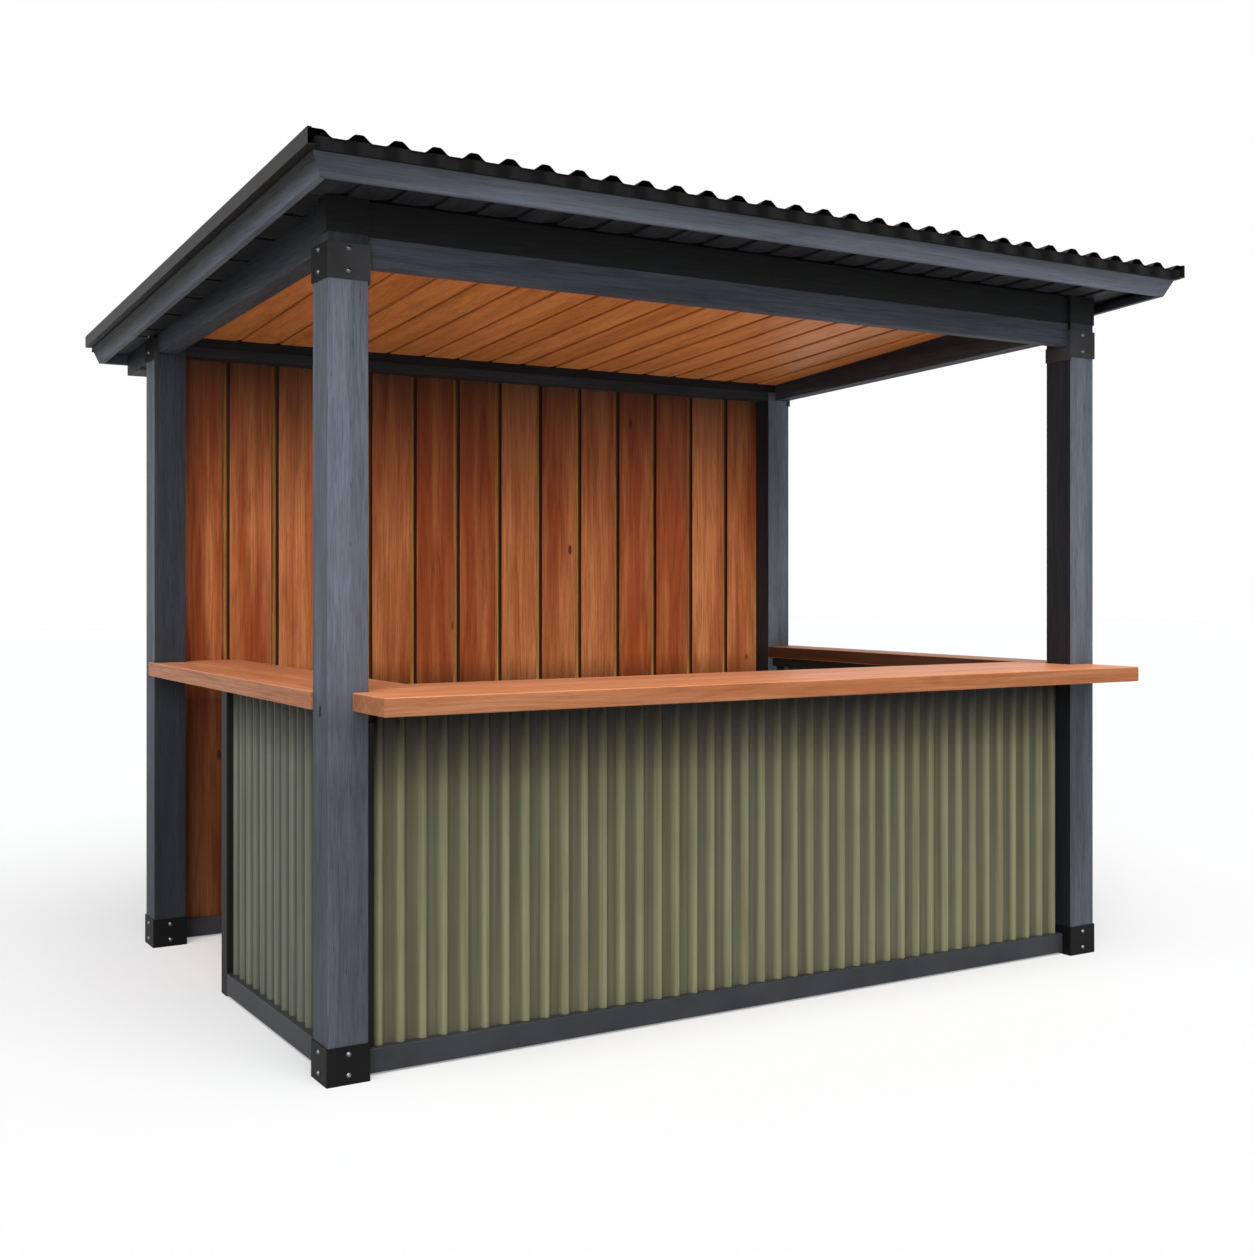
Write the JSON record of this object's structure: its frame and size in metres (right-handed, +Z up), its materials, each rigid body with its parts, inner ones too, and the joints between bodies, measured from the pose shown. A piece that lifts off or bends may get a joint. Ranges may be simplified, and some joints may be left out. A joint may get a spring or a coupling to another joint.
{
  "type": "garden bar",
  "caption": "Timber post and beam garden bar with a falling ribbed steel roof, boarded back wall, ribbed panels and counters on three sides.",
  "frame": {"origin": "on the ground under the middle of the roof", "axes": "+X to the right along the front, +Y to the back wall, +Z up"},
  "size_m": [3.316, 2.6189, 2.5385],
  "materials": {
    "slate_timber": "slate grey stain",
    "cedar_ceiling": "clear oiled cedar boards",
    "cedar_wall": "clear oiled cedar boards",
    "oiled_counter": "oiled hardwood",
    "plywood": "sawn",
    "roof_steel": "black coated sheet",
    "olive_sheet": "olive coated sheet",
    "dark_frame": "dark grey powder coat",
    "black_steel": "black powder coat"
  },
  "bodies": {
    "root": {"back_rail": "dark_frame", "back_wall": "cedar_wall", "beam_back_lower": "slate_timber", "beam_back_upper": "slate_timber", "beam_front_lower": "slate_timber", "beam_front_upper": "slate_timber", "beam_left_lower": "slate_timber", "beam_right_lower": "slate_timber", "ceiling": "cedar_ceiling", "collar_back_left": "black_steel", "collar_back_right": "black_steel", "collar_front_left": "black_steel", "collar_front_right": "black_steel", "counter_front": "oiled_counter", "counter_left": "oiled_counter", "counter_left_rear": "oiled_counter", "counter_right": "oiled_counter", "drip_back": "roof_steel", "drip_front": "roof_steel", "fascia_back": "slate_timber", "fascia_front": "slate_timber", "fascia_left": "slate_timber", "fascia_right": "slate_timber", "firring_left": "slate_timber", "firring_right": "slate_timber", "front_rail_bottom": "dark_frame", "front_rail_top": "dark_frame", "front_sheet": "olive_sheet", "front_stiles": "dark_frame", "left_end_stile": "dark_frame", "left_rail_bottom": "dark_frame", "left_rail_top": "dark_frame", "left_sheet": "olive_sheet", "left_stile": "dark_frame", "lookout_left": "slate_timber", "lookout_right": "slate_timber", "post_back_left": "slate_timber", "post_back_right": "slate_timber", "post_front_left": "slate_timber", "post_front_right": "slate_timber", "right_rail_bottom": "dark_frame", "right_rail_top": "dark_frame", "right_sheet": "olive_sheet", "right_stiles": "dark_frame", "roof_deck": "plywood", "roof_sheet": "roof_steel", "shoe_back_left": "black_steel", "shoe_back_right": "black_steel", "shoe_front_left": "black_steel", "shoe_front_right": "black_steel", "soffit_back": "slate_timber", "soffit_front": "slate_timber", "soffit_left": "slate_timber", "soffit_right": "slate_timber", "verge_left": "roof_steel", "verge_right": "roof_steel"}
  },
  "joints": []
}
